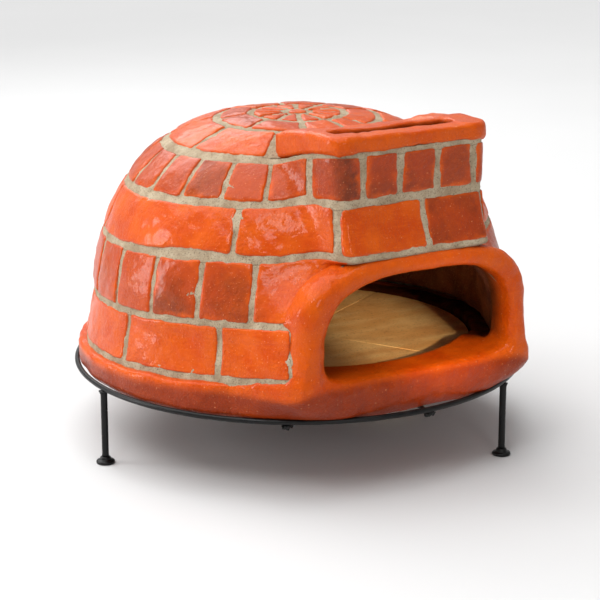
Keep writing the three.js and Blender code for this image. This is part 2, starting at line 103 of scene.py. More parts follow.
MOUTH_CENTRE = 92
MOUTH_FRONT = 318
MOUTH_BACK = 270
MOUTH_INNER = {"halves": (143, 152), "rise": 99, "drop": 36, "left": 2.7, "right": 3.4, "low": 5.5}
MOUTH_OUTER = {"halves": (188, 188), "rise": 125, "drop": 87, "left": 3.4, "right": 3.8, "low": 3.6}
MOUTH_RUN = (-340, -20)  # angles of the second course, which ends under the lip
CROWN_RUN = (-316.5, -43.5)
CAP_RUN = (-47, 47)


# ---- small helpers --------------------------------------------------
def smoothstep(value, low, high):
    t = np.clip((value - low) / (high - low), 0, 1)
    return t * t * (3 - 2 * t)


def smooth_max(a, b, k):
    h = np.maximum(k - np.abs(a - b), 0) / k
    return np.maximum(a, b) + h * h * k / 4


def smooth_min(a, b, k):
    return -smooth_max(-a, -b, k)


def round_max(a, b, radius):
    """Intersection of two half-spaces with a round edge."""
    outside = np.hypot(np.maximum(a + radius, 0), np.maximum(b + radius, 0))
    return np.minimum(np.maximum(a, b), -radius) + outside


def waves(seed, length, count=9):
    """Seeded smooth field of about -1 to 1 over points in mm, with bumps about length apart."""
    rng = np.random.default_rng(seed)
    heading = rng.normal(size=(count, 3))
    heading /= np.linalg.norm(heading, axis=1)[:, None]
    heading *= (2 * math.pi / length) * rng.uniform(0.55, 1.5, count)[:, None]
    phase = rng.uniform(0, 2 * math.pi, count)

    def field(x, y, z):
        total = 0
        for (a, b, c), p in zip(heading, phase):
            total = total + np.sin(a * x + b * y + c * z + p)
        return total * math.sqrt(1.6 / count)

    return field


def wrapped(angle):
    return (angle + 180) % 360 - 180


def side_share(angle):
    """0 beside the mouth, 1 a quarter turn further round, and less again at the rear."""
    return np.sin(np.radians(np.maximum(np.abs(angle) - 30, 0))) ** 2


def facing(heading):
    return Vector(heading).to_track_quat("-Z", "Y").to_euler()


def link_object(name, data):
    made = bpy.data.objects.new(name, data)
    bpy.context.scene.collection.objects.link(made)
    return made


def take_lists(mesh):
    """Points and faces of a bmesh, which is freed."""
    points = np.array([v.co[:] for v in mesh.verts])
    faces = [[v.index for v in f.verts] for f in mesh.faces]
    mesh.free()
    return points, faces


def polar(points):
    """Angle in degrees and radius of points round the dome's axis."""
    x, y = points[..., 0], points[..., 1]
    return np.degrees(np.arctan2(x, -y)), np.hypot(x, y)


def make_piece(name, body, nodes, slot, points, faces, material, values=None):
    """Mesh object from points in mm, with float attributes, that stands for CAD nodes."""
    mesh = bpy.data.meshes.new(name)
    mesh.from_pydata((points * MM + ORIGIN).tolist(), [], faces)
    mesh.validate()
    for key, numbers in (values or {}).items():
        attribute = mesh.attributes.new(key, "FLOAT", "POINT")
        attribute.data.foreach_set("value", np.asarray(numbers, np.float32))
    mesh.polygons.foreach_set("use_smooth", [True] * len(mesh.polygons))
    mesh.materials.append(material)
    piece = link_object(name, mesh)
    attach(piece, body)
    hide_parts(*nodes)
    return piece


class Parts:
    """Several closed meshes gathered into one."""

    def __init__(self):
        self.points, self.faces, self.values, self.count = [], [], {}, 0

    def add(self, points, faces, **values):
        points = np.asarray(points, float).reshape(-1, 3)
        self.faces += [[i + self.count for i in face] for face in faces]
        self.points.append(points)
        self.count += len(points)
        for key, numbers in values.items():
            filled = np.broadcast_to(np.asarray(numbers, float).reshape(-1), (len(points),))
            self.values.setdefault(key, []).append(filled)

    def build(self, name, body, nodes, slot, material):
        values = {key: np.concatenate(numbers) for key, numbers in self.values.items()}
        points = np.concatenate(self.points)
        return make_piece(name, body, nodes, slot, points, self.faces, material, values)


# ---- skin of the dome and hood --------------------------------------
def profile(level):
    """Radius and height at a level: below 0 on the wall, 0 to a quarter turn on the dome."""
    up = np.clip(level, 0, math.pi / 2)
    z = np.where(level < 0, SHOULDER + level * WALL_PER_LEVEL,
                 SHOULDER + DOME_RISE * np.sin(up) ** (2 / RISE_POWER))
    r = DOME_RADIUS * np.maximum(np.cos(up), 0) ** (2 / RADIUS_POWER)
    return r + FLARE * np.maximum(0, SHOULDER - z), z


def profile_normal(level):
    step = 0.002
    r0, z0 = profile(level - step)
    r1, z1 = profile(np.minimum(level + step, math.pi / 2))
    length = np.hypot(r1 - r0, z1 - z0)
    low = level < 0
    return np.where(low, 1, (z1 - z0) / length), np.where(low, 0, (r0 - r1) / length)


def level_at_height(z):
    share = np.clip((z - SHOULDER) / DOME_RISE, 0, 1) ** (RISE_POWER / 2)
    return np.where(z < SHOULDER, (z - SHOULDER) / WALL_PER_LEVEL, np.arcsin(share))


def level_at_radius(r):
    return math.acos((r / DOME_RADIUS) ** (RADIUS_POWER / 2))


ARC_LEVELS = np.linspace(-0.8, math.pi / 2 - 1e-4, 5000)
ARC = np.concatenate([[0], np.cumsum(np.hypot(*(np.diff(side) for side in profile(ARC_LEVELS))))])
HOOD_TOP_LEVEL = level_at_radius(184)


def arc_at(level):
    return np.interp(level, ARC_LEVELS, ARC)


def level_at_arc(arc):
    return np.interp(arc, ARC, ARC_LEVELS)


def sag(angle, z):
    """How far the beds droop away from the hood, by the height of the bed."""
    return np.interp(z, BED_HEIGHTS, BED_SAGS) * side_share(angle)


def hood_lift(angle, z):
    """How far the beds climb on the hood, first under it and again towards the cap."""
    side = 1 - smoothstep(np.abs(angle), 20, 42)
    under, over = HOOD_RISES
    return side * (under * smoothstep(z, 140, HOOD_BASE) + over * smoothstep(z, 262, 350) ** 0.8)


def porch(angle, z):
    """How much wider the low wall is where it runs straight from the dome to the lip."""
    turn = np.radians(np.maximum(0, PORCH_TANGENT - np.maximum(np.abs(angle), PORCH_INNER)))
    return 1 + (1 / np.cos(turn) - 1) * (1 - smoothstep(z, SHOULDER, HOOD_BASE))


def hood_half(x):
    """Half width of the hood on the side that x, or an angle, is on."""
    side = smoothstep(x, -20, 20)
    return HOOD_HALF["left"] * (1 - side) + HOOD_HALF["right"] * side


def hood_flare(height):
    """How far the foot of the hood's front runs forward."""
    return HOOD_FLARE * (np.clip(HOOD_FLARE_TOP - height, 0, 90) / HOOD_FLARE_HEIGHT) ** 1.5


def hood_radius(angle, height, depth):
    """Distance from the dome's axis to the hood's front or flank, with a round corner between."""
    turn = np.radians(np.abs(angle))
    front = HOOD_FRONT + hood_flare(height) + HOOD_WALL_RATIO * depth
    half = hood_half(angle) + HOOD_WALL_RATIO * depth
    reach = half * math.cos(HOOD_SPLAY) + front * math.sin(HOOD_SPLAY)
    return smooth_min(front / np.cos(turn), reach / np.sin(turn + HOOD_SPLAY), 48)


def skin(angle, level, depth, lifted=True):
    """Points of the skin at an angle in degrees, a level and a depth in mm (negative is inside)."""
    angle = wrapped(np.asarray(angle, float))
    angle, level, depth = np.broadcast_arrays(angle, np.asarray(level, float), depth)
    z = profile(level)[1]
    drop = sag(angle, z)
    level = np.where(drop > 0, level_at_height(z - drop), level)
    r, z = profile(level)
    nr, nz = profile_normal(level)
    under = (level <= HOOD_TOP_LEVEL) if lifted else np.zeros(level.shape, bool)
    plain = np.maximum(r + nr * depth, 0)
    dome = plain * porch(angle, z)
    height = z + nz * depth + np.where(under, hood_lift(angle, z), 0) + PORCH_CLIMB * (dome - plain)
    near = np.abs(angle) < 70
    turn = np.where(near, angle, 0)
    hood = smooth_max(dome, hood_radius(turn, height, depth), 26)
    share = smoothstep(z, 192, 212) * np.where(under & near, 1, 0)
    radius = dome + (hood - dome) * share
    turn = np.radians(angle)
    return np.stack([radius * np.sin(turn), -radius * np.cos(turn), height], -1)


# ---- closed sheets over the skin ------------------------------------
def grid_quads(index):
    return np.stack([index[:-1, :-1], index[:-1, 1:], index[1:, 1:], index[1:, :-1]], -1).reshape(-1, 4)


def slab(front, back):
    """Closed mesh between two matching grids of points."""
    rows, columns = front.shape[:2]
    index = np.arange(rows * columns).reshape(rows, columns)
    count = index.size
    rim = np.concatenate([index[0, :-1], index[:-1, -1], index[-1, :0:-1], index[:0:-1, 0]])
    after = np.roll(rim, -1)
    sides = np.stack([after, rim, rim + count, after + count], -1)
    faces = np.concatenate([grid_quads(index), grid_quads(index)[:, ::-1] + count, sides])
    return np.concatenate([front.reshape(-1, 3), back.reshape(-1, 3)]), faces.tolist()


def band(front, back, closed):
    """Closed mesh from a fine outer grid and a back of two rows, all round or over an open run."""
    rows, columns = front.shape[:2]
    outer = np.arange(rows * columns).reshape(rows, columns)
    inner = np.arange(2 * columns).reshape(2, columns) + outer.size
    if closed:
        outer, inner = (np.concatenate([g, g[:, :1]], 1) for g in (outer, inner))
    faces = [grid_quads(outer), grid_quads(inner)[:, ::-1],
             grid_quads(np.stack([inner[0], outer[0]])), grid_quads(np.stack([outer[-1], inner[1]]))]
    faces = np.concatenate(faces).tolist()
    if not closed:
        faces.append(outer[::-1, 0].tolist() + [int(inner[0, 0]), int(inner[1, 0])])
        faces.append(outer[:, -1].tolist() + [int(inner[1, -1]), int(inner[0, -1])])
    return np.concatenate([front.reshape(-1, 3), back.reshape(-1, 3)]), faces


COURSES = [
    {"low": level_at_height(55), "high": level_at_height(122), "run": (-326.8, -33.2),
     "joints": [-51.5 - 31.5 * k for k in range(9)], "corner": 4, "stain": 0.04},
    {"low": level_at_height(130), "high": level_at_height(209), "run": MOUTH_RUN,
     "joints": [-43 - 15.5 * k for k in range(18)], "corner": 4, "stain": 0.62},
    {"low": level_at_height(217), "high": level_at_height(277), "run": None,
     "joints": [-308, -250, -172, -112, -50, -21.5, 4, 22.5], "corner": 4.5, "stain": 0.05},
    {"low": level_at_height(285), "high": level_at_height(328), "run": None,
     "joints": [-316] + [-42 - 15.5 * k for k in range(17)] + [-28, -14.5, -3, 9, 20, 31],
     "corner": 4, "stain": 0.72},
    {"low": level_at_radius(182), "high": level_at_radius(124), "run": (-314, -46),
     "joints": [-84.5 - 38.5 * k for k in range(6)], "corner": 4.5, "stain": 0.02},
    {"low": level_at_radius(114), "high": level_at_radius(74), "run": None,
     "joints": [-27 - 42 * k for k in range(7)] + [5, 27], "corner": 4, "stain": 0.45},
    {"low": level_at_radius(64), "high": level_at_radius(22), "run": None,
     "joints": [-28 - 30 * k for k in range(12)], "corner": 3, "stain": 0.02},
]
dent = waves(11, 70)
ripple = waves(12, 26)
grain = waves(13, 9)


def edge_drop(inward):
    """How far a brick's face falls away within its rounded edge, and steeply outside it."""
    lip = np.clip(inward, 0, BRICK_ROUND)
    drop = BRICK_ROUND - np.sqrt(BRICK_ROUND ** 2 - (BRICK_ROUND - lip) ** 2)
    return drop + np.clip(-inward, 0, 2) * 3


def brick_spans(course):
    """(left angle, right angle, left is a joint, right is a joint) for each brick."""
    joints = sorted(course["joints"])
    spans = [(a, b, True, True) for a, b in zip(joints, joints[1:])]
    if course["run"]:
        start, end = course["run"]
        return [(start, joints[0], False, True)] + spans + [(joints[-1], end, True, False)]
    return spans + [(joints[-1], joints[0] + 360, True, True)]


def tucked_end(level):
    """Angle from the mouth's axis where the second course disappears under the middle of the lip."""
    r, z = profile(level)
    share = np.clip(np.abs(z - MOUTH_CENTRE) / 112, 0, 1)
    x = 166 * (1 - share ** 3.3) ** (1 / 3.3)
    return np.maximum(np.degrees(np.arcsin(x / (r * porch(PORCH_INNER, z)))), 20)


def edge_spacing(length):
    """Distances across a brick, close together near its edges."""
    reach = min(9.0, 0.42 * length)
    near = (reach + 2) * np.linspace(0, 1, 10) ** 1.8 - 2
    middle = np.linspace(reach, length - reach, max(2, round((length - 2 * reach) / (1.5 * CELL)) + 1))
    return np.concatenate([near[:-1], middle, (length - near[:-1])[::-1]])


def brick(course, span, seed, bottom_lift=None):
    """Closed brick with rounded corners, a slightly crowned face and hand-made unevenness."""
    rng = np.random.default_rng(seed)
    left, right, left_joint, right_joint = span
    low, high = arc_at(course["low"]), arc_at(course["high"])
    height = high - low
    middle_radius = float(profile(level_at_arc((low + high) / 2))[0])
    width = math.radians(right - left) * middle_radius - JOINT_HALF * (left_joint + right_joint)
    x, y = np.meshgrid(edge_spacing(width), edge_spacing(height))
    level = level_at_arc(low + y)
    radius = profile(level)[0]
    half = np.degrees(JOINT_HALF / radius)
    start = left + half * left_joint
    end = right - half * right_joint
    tucked = course["run"] == MOUTH_RUN
    if tucked and not left_joint:
        start = tucked_end(level) - 360
    if tucked and not right_joint:
        end = -tucked_end(level)
    slant = rng.uniform(-0.5, 0.5, 2) * min(1, 300 / middle_radius / 2)
    lean = y / height - 0.5
    start = start + slant[0] * lean * left_joint
    end = end + slant[1] * lean * right_joint
    angle = start + (end - start) * x / width
    scale = np.radians(end - start) * radius / width
    flat = skin(angle, level, 0)
    px, py, pz = flat[..., 0], flat[..., 1], flat[..., 2]
    wobble = 0.5 * waves(seed + 1, 38)(px, py, pz) + 0.22 * waves(seed + 2, 11)(px, py, pz)
    inset = rng.uniform(-0.5, 0.5, 4)
    far = 99
    from_left = np.where(left_joint or not tucked, x * scale - inset[0], far) + wobble
    from_right = np.where(right_joint or not tucked, (width - x) * scale - inset[1], far) + wobble
    from_low = y - inset[2] - wobble - (bottom_lift(angle) if bottom_lift else 0)
    from_high = height - y - inset[3] + wobble
    across, up = np.minimum(from_left, from_right), np.minimum(from_low, from_high)
    corner = min(course["corner"] * rng.uniform(0.75, 1.25), 0.4 * width)
    bend = corner - np.hypot(np.maximum(corner - across, 0), np.maximum(corner - up, 0))
    inward = np.where((across < corner) & (up < corner), bend, np.minimum(across, up))
    crown = 0.9 * (1 - np.exp(-np.maximum(inward, 0) / 11)) - 0.7
    tilt = rng.uniform(-0.5, 0.5, 2) @ np.array([(x / width - 0.5).ravel(), lean.ravel()])
    uneven = 0.45 * dent(px, py, pz) + 0.28 * ripple(px, py, pz) + 0.1 * grain(px, py, pz)
    depth = np.maximum(crown + tilt.reshape(x.shape) + uneven - edge_drop(inward), BRICK_BACK + 1)
    points, faces = slab(skin(angle, level, depth), skin(angle, level, BRICK_BACK))
    edge = np.concatenate([inward.ravel(), np.zeros(inward.size)])
    return points, faces, np.clip(edge, -2, 30)


def lip_distance(points):
    """About how far points are outside the raised lip of the mouth."""
    outer = outline_distance(points[..., 0], points[..., 2], MOUTH_OUTER)
    return np.where(points[..., 1] < -150, outer, 200)


def outline_distance(x, z, size):
    """Signed distance of points in the X-Z plane from the mouth's rounded outline."""
    half = np.where(x < 0, *size["halves"])
    reach = np.where(z > MOUTH_CENTRE, size["rise"], size["drop"])
    power = np.where(z > MOUTH_CENTRE, np.where(x < 0, size["left"], size["right"]), size["low"])
    a = np.maximum(np.abs(x) / half, 1e-4)
    b = np.maximum(np.abs(z - MOUTH_CENTRE) / reach, 1e-4)
    total = (a ** power + b ** power) ** (1 / power)
    slope = np.hypot((a / total) ** (power - 1) / half, (b / total) ** (power - 1) / reach)
    return (total - 1) / slope


def wide_bed(angle):
    """Extra mortar left of the shoulder under the third course."""
    return 7 * np.exp(-((wrapped(angle) + 64) / 13) ** 2)


def stain_of(k, course, middle, rng):
    """How dark a brick is, from 0 to 1, by its course and by the angle of its middle."""
    turned = wrapped(middle)
    spread = (-0.05, 0.05) if k % 2 == 0 else (-0.2, 0.22)
    stain = course["stain"] + rng.uniform(*spread)
    if k == 5 and -27 < turned < 90:
        stain = 0.1
    if k == 3 and -24 < turned < 9:
        stain = 0.98
    if k == 2 and 9 < turned < 22:
        stain = 0.9
    return max(0.0, min(1.0, stain))


def build_course(k, material):
    course = COURSES[k]
    parts = Parts()
    for i, span in enumerate(brick_spans(course)):
        seed = 1000 * (k + 1) + 17 * i
        rng = np.random.default_rng(seed + 5)
        points, faces, edge = brick(course, span, seed, wide_bed if k == 2 else None)
        near_lip = 1 - smoothstep(lip_distance(points), -6, 24) if k == 1 else 0
        tone = stain_of(k, course, (span[0] + span[1]) / 2, rng)
        shade = rng.uniform(0, 1) * (0.25 if tone > 0.9 else 1)
        parts.add(points, faces, edge=edge, stain=tone, shade=shade, lip=near_lip)
    slot = "orange_clay" if k % 2 == 0 else "red_clay"
    return parts.build(f"course_{k + 1}_bricks", "oven", [f"brick_course_{k + 1}"], slot, material)


def mortar_sheet(low, high, run, seed, lifted=True):
    """Gritty mortar behind a course and its bed, seen in the joints."""
    radius = float(profile(level_at_arc((low + high) / 2))[0])
    start, end = run or (-180, 180)
    columns = int(math.radians(end - start) * radius / CELL)
    rows = max(3, int((high - low) / CELL))
    share, arc = np.meshgrid(np.linspace(0, 1, columns, endpoint=run is not None),
                             np.linspace(low, high, rows))
    level = level_at_arc(arc)
    if run == MOUTH_RUN:
        start, end = tucked_end(level) - 360, -tucked_end(level)
    angle = start + (end - start) * share
    flat = skin(angle, level, MORTAR_FACE, lifted)
    px, py, pz = flat[..., 0], flat[..., 1], flat[..., 2]
    rng = np.random.default_rng(seed)
    rough = 0.5 * waves(31, 31)(px, py, pz) + 0.32 * waves(32, 8)(px, py, pz)
    depth = MORTAR_FACE + rough + rng.normal(0, 0.16, angle.shape)
    front = skin(angle, level, depth, lifted)
    back = skin(angle[[0, -1]], level[[0, -1]], MORTAR_BACK, lifted)
    return band(front, back, run is None)


def build_mortar(k, material):
    """The fifth course has two more sheets behind the cap, below and above the hood's top."""
    low = arc_at(COURSES[k - 1]["high"]) - MORTAR_TUCK if k else arc_at(level_at_height(40))
    high = arc_at(COURSES[k]["high"]) - MORTAR_TUCK
    parts = Parts()
    if k == 4:
        parts.add(*mortar_sheet(low, high, CROWN_RUN, 44))
        step = arc_at(HOOD_TOP_LEVEL)
        parts.add(*mortar_sheet(low, step - 0.5, CAP_RUN, 45))
        parts.add(*mortar_sheet(step + 0.5, high, CAP_RUN, 46))
    else:
        run = ((-328.2, -31.8), MOUTH_RUN)[k] if k < 2 else None
        parts.add(*mortar_sheet(low, high, run, 40 + k))
    return parts.build(f"course_{k + 1}_mortar", "oven", [f"mortar_course_{k + 1}"], "mortar", material)


def build_keystone(brick_material, mortar_material):
    """Round brick at the crown and the mortar ring round it."""
    sides = 48
    ring = np.linspace(-180, 180, sides, endpoint=False)
    reach = np.array([15, 14, 13.2, 12.6, 11.6, 10.2, 8.2, 5.5, 3, 0.8])
    angle, radius = np.meshgrid(ring, reach)
    level = np.vectorize(level_at_radius)(radius)
    inward = 13 - radius + 0.5 * np.sin(np.radians(angle * 3)) + 0.3 * np.sin(np.radians(angle * 5 + 40))
    front = skin(angle, level, -edge_drop(inward))
    points, faces = band(front, skin(angle[[0, -1]], level[[0, -1]], BRICK_BACK), True)
    last = (len(reach) - 1) * sides
    under = last + sides
    used = under + sides
    turned = [(i + 1) % sides for i in range(sides)]
    faces = faces[:last] + [list(range(last, under))]
    faces += [[under + i, under + after, after, i] for i, after in enumerate(turned)]
    faces.append(list(range(under, used))[::-1])
    edge = np.concatenate([inward.ravel(), np.zeros(sides)])
    parts = Parts()
    parts.add(points[:used], faces, edge=edge, stain=0.0, shade=0.5, lip=0.0)
    parts.build("crown_keystone", "oven", ["keystone_brick"], "orange_clay", brick_material)
    parts = Parts()
    low = arc_at(COURSES[-1]["high"]) - MORTAR_TUCK
    parts.add(*mortar_sheet(low, arc_at(level_at_radius(11)), None, 51))
    parts.build("crown_mortar", "oven", ["mortar_keystone"], "mortar", mortar_material)


# ---- solids from distance fields ------------------------------------
def lattice(low, high, step):
    axes = [np.arange(a, b + step, step, dtype=np.float32) for a, b in zip(low, high)]
    return np.meshgrid(*axes, indexing="ij")


def surface(values, low, step):
    """Closed mesh of the surface where a sampled field changes sign, one point per cell."""
    inside = values < 0
    shape = tuple(n - 1 for n in values.shape)
    corners = np.array([(i, j, k) for i in (0, 1) for j in (0, 1) for k in (0, 1)])
    total = np.zeros(shape, np.int8)
    for i, j, k in corners:
        total += inside[i:shape[0] + i, j:shape[1] + j, k:shape[2] + k]
    cells = np.argwhere((total > 0) & (total < 8))
    number = np.full(shape, -1, np.int64)
    number[tuple(cells.T)] = np.arange(len(cells))
    at = cells[:, None, :] + corners[None]
    v = values[at[..., 0], at[..., 1], at[..., 2]].astype(float)
    place = np.zeros((len(cells), 3))
    crossings = np.zeros(len(cells))
    for a in range(8):
        for b in range(a + 1, 8):
            if np.abs(corners[a] - corners[b]).sum() != 1:
                continue
            cut = (v[:, a] < 0) != (v[:, b] < 0)
            t = np.where(cut, v[:, a] / np.where(cut, v[:, a] - v[:, b], 1), 0)[:, None]
            place += np.where(cut[:, None], corners[a] * (1 - t) + corners[b] * t, 0)
            crossings += cut
    points = np.array(low) + step * (cells + place / crossings[:, None])
    faces = []
    for axis in range(3):
        first = np.take(inside, range(values.shape[axis] - 1), axis)
        second = np.take(inside, range(1, values.shape[axis]), axis)
        edges = np.argwhere(first != second)
        p, q = [(1, 2), (2, 0), (0, 1)][axis]
        step_p, step_q = np.eye(3, dtype=int)[p], np.eye(3, dtype=int)[q]
        loop = [edges, edges - step_p, edges - step_p - step_q, edges - step_q]
        quad = np.stack([number[tuple(c.T)] for c in loop], -1)
        outward = first[tuple(edges.T)]
        faces.append(np.where(outward[:, None], quad, quad[:, ::-1]))
    return points, np.concatenate(faces).tolist()


def dome_field(x, y, z, depth, with_hood=True):
    """Rough signed distance outside the dome and hood, whose skin is moved outward by depth."""
    full = np.hypot(x, y)
    top = z
    radius = full / porch(np.degrees(np.arctan2(x, -y)), z)
    z = z - PORCH_CLIMB * (full - radius)
    rise = np.maximum(z - SHOULDER, 0) / (DOME_RISE + depth)
    a = np.maximum(radius, 1) / (DOME_RADIUS + depth)
    total = a ** RADIUS_POWER + rise ** RISE_POWER
    slope = np.hypot(RADIUS_POWER * a ** (RADIUS_POWER - 1) / (DOME_RADIUS + depth),
                     RISE_POWER * np.maximum(rise, 1e-4) ** (RISE_POWER - 1) / (DOME_RISE + depth))
    upper = (total - 1) / np.maximum(slope, 1e-4)
    lower = radius - DOME_RADIUS - depth - FLARE * (SHOULDER - z)
    dome = np.where(z > SHOULDER, upper, lower)
    if not with_hood:
        return dome
    front = HOOD_FRONT + hood_flare(top) + HOOD_WALL_RATIO * depth
    half = hood_half(x) + HOOD_WALL_RATIO * depth + (y + HOOD_FRONT) * math.tan(HOOD_SPLAY)
    hood = np.maximum(round_max(-y - front, np.abs(x) - half, 30), HOOD_BASE - top)
    hood = np.maximum(hood, y + 152)
    return smooth_min(dome, np.maximum(hood, top - 366 - depth), 20)


def build_shell(material):
    """Rough lining behind the bricks, open at the mouth and under the slot."""
    low, high = (-310, -325, 30), (310, 310, 375)
    step = VOXEL * 1.3
    x, y, z = lattice(low, high, step)
    outer = np.maximum(dome_field(x, y, z, SHELL_OUTSIDE), 44 - z)
    below_lip = np.maximum(np.abs(x) - 182, z - 190)
    outer = np.maximum(outer, np.minimum(-y - 296, -below_lip))
    rough = 1.1 * waves(61, 40)(x, y, z) + 0.5 * waves(62, 14)(x, y, z)
    inner = dome_field(x, y, z, SHELL_INSIDE) + rough
    mouth = np.maximum(outline_distance(x, z, MOUTH_INNER) - 8, y + 150)
    slot = np.maximum(np.maximum(np.abs(x) - 96, np.abs(y - SLOT["centre"][1]) - 11), 290 - z)
    field = np.maximum(np.maximum(outer, -inner), np.maximum(-mouth, -slot))
    points, faces = surface(field, low, step)
    return make_piece("dome_lining", "oven", ["dome_shell"], "inner_clay", points, faces, material)


def lip_field(x, y, z):
    """Thick round-fronted lip of the mouth."""
    outer = outline_distance(x, z, MOUTH_OUTER)
    inner = outline_distance(x, z, MOUTH_INNER)
    thick = np.maximum(inner - outer, 1)
    radius = np.clip(0.49 * thick, 10, 22)
    ring = np.maximum(outer, -inner)
    front = -MOUTH_FRONT - y
    rounded = round_max(ring, front, radius)
    return round_max(rounded, y + MOUTH_BACK, 6)


def add_porch(pan, x, y, z, swell):
    """The pan's field with the lip, the wall beside it (apron) and the mouth's opening."""
    rows = y[0, :, 0] < -120
    px, py, pz = x[:, rows], y[:, rows], z[:, rows]
    lip = lip_field(px, py, pz) + 0.8 * swell[:, rows]
    depth = -0.7 - 7 * (1 - smoothstep(pz, 128, 140) * (1 - smoothstep(pz, 200, 212)))
    apron = np.maximum(dome_field(px, py, pz, 0, False) - depth, lip - 34)
    apron = np.maximum(apron, -dome_field(px, py, pz, -18, False))
    apron = np.maximum(np.maximum(apron, pz - 212), 42 - pz)
    apron = np.maximum(apron, 3 - MOUTH_FRONT - py)
    apron = np.maximum(apron, -20 - outline_distance(px, pz, MOUTH_OUTER))
    pan[:, rows] = smooth_min(pan[:, rows], smooth_min(lip, apron, 16), 18)
    mouth = outline_distance(px, pz, MOUTH_INNER)
    pan[:, rows] = round_max(pan[:, rows], -np.maximum(mouth, py + 120), 9)
    return pan


def build_base(material):
    """Pan, flange and lip flow into each other as one piece of clay."""
    low, high = (-333, -333, -9), (333, 333, 224)
    x, y, z = lattice(low, high, VOXEL)
    radius = np.hypot(x, y)
    angle = np.degrees(np.arctan2(x, -y))
    droop = BED_SAGS[0] * side_share(angle)
    swell = 1.0 * waves(71, 90)(x, y, z) + 0.55 * waves(72, 30)(x, y, z) + 0.22 * waves(73, 11)(x, y, z)
    foot = DOME_RADIUS + FLARE * (SHOULDER - FLANGE_TOP)
    spread = foot * (porch(angle, FLANGE_TOP) - 1)
    skirt = np.maximum(foot + spread + 2 - FLANGE_RADIUS, 0) * smoothstep(z, -6, 36)
    side = radius - FLANGE_RADIUS - skirt + 1.6 + 0.6 * swell
    upper = z - FLANGE_TOP + droop - PORCH_CLIMB * spread + 0.8 * swell
    pan = round_max(round_max(side, upper, 7), FLANGE_BOTTOM - z, 13)
    pan = round_max(pan, -y - MOUTH_FRONT + 3 + 0.6 * swell, 16)
    pan = add_porch(pan, x, y, z, swell)
    well = round_max(radius - RECESS_RADIUS, RECESS_FLOOR - z, 2)
    field = round_max(pan, -well, 5)
    points, faces = surface(field, low, VOXEL)
    angle, reach = polar(points)
    inner = outline_distance(points[:, 0], points[:, 2], MOUTH_INNER)
    jamb = (1 - smoothstep(inner, 3, 17)) * smoothstep(points[:, 1], -306, -276)
    # Darker colour, near black in the material: on the upper part of the mouth's jamb, on the base inside
    # the dome and in the well under the tiles.
    inner_dark = 0.9 * jamb * smoothstep(points[:, 2], 60, 84)
    indoors = (1 - smoothstep(reach, 288, 298)) * smoothstep(np.abs(angle), 29, 36)
    inner_dark = np.maximum(np.maximum(inner_dark, indoors), 1 - smoothstep(reach, 250, 258))
    outer = outline_distance(points[:, 0], points[:, 2], MOUTH_OUTER)
    off_lip = smoothstep(outer, 4, 30) * smoothstep(points[:, 2], 122, 134)
    below = 30 + 14 * (1 - smoothstep(np.abs(angle), 26, 34))
    height = points[:, 2] + BED_SAGS[0] * side_share(angle)
    flange = (1 - smoothstep(height, below, below + 14)) * smoothstep(reach, 300, 312)
    return make_piece("base_and_lip", "oven", ["base_pan", "door_surround"], "orange_clay", points,
                      faces, material, {"inner_dark": inner_dark, "stain": off_lip, "flange": flange})


def slot_distance(x, y):
    """Distances outside the slot's ends and its long sides."""
    middle_x, middle_y = SLOT["centre"]
    return np.abs(x - middle_x) - SLOT["half_length"], np.abs(y - middle_y) - SLOT["half_width"]


def build_cap(material):
    """Rim across the hood's front, an arm back along each side, and the roof between them."""
    low, high = (-142, -297, 318), (156, -112, 390)
    step = VOXEL * 0.75
    x, y, z = lattice(low, high, step)
    swell = 1.0 * waves(81, 60)(x, y, z) + 0.5 * waves(82, 22)(x, y, z) + 0.2 * waves(83, 9)(x, y, z)
    half = hood_half(x) + (y + HOOD_FRONT) * math.tan(HOOD_SPLAY)
    under = 362 - 30 * (np.clip(y + HOOD_FRONT - 25, 0, 200) / 126) ** 1.3
    front = round_max(-y - HOOD_FRONT - 0.5, np.abs(x) - half, 26)
    rim_top = round_max(z - CAP_TOP + 2, y + 216, 6)
    rim = round_max(round_max(front, rim_top, 5), under - z, 3)
    slope = 383 - 3 * smoothstep(y, -291, -200) - 9 * smoothstep(y, -205, -140)
    arm = np.maximum(np.abs(np.abs(x) - (half - 21)) - 21, y + 147)
    arm = round_max(round_max(round_max(arm, -y - HOOD_FRONT, 20), z - slope, 9), under - z, 4)
    roof = np.maximum(z - ROOF_TOP + 5 * smoothstep(y, -216, -125), np.abs(x) - half + 12)
    roof = np.maximum(np.maximum(round_max(roof, y + 124, 6), 321 - z), -y - 280)
    solid = smooth_min(smooth_min(rim, arm, 10), roof, 14) + 0.55 * swell
    slot = round_max(*slot_distance(x, y), 6) + 0.5 * swell
    field = np.maximum(round_max(solid, -slot, 4), np.maximum(320 - z, z - CAP_TOP + 0.3))
    points, faces = surface(field, low, step)
    within = np.maximum(*slot_distance(points[:, 0], points[:, 1]))
    # Darker colour on the slot's walls, fading out towards the top of the cap.
    inner_dark = (1 - smoothstep(within, 0, 3)) * (1 - smoothstep(points[:, 2], 372, 382))
    return make_piece("flue_rim", "oven", ["flue_cap"], "orange_clay", points, faces, material,
                      {"inner_dark": inner_dark, "stain": 0 * inner_dark, "flange": 0 * inner_dark})


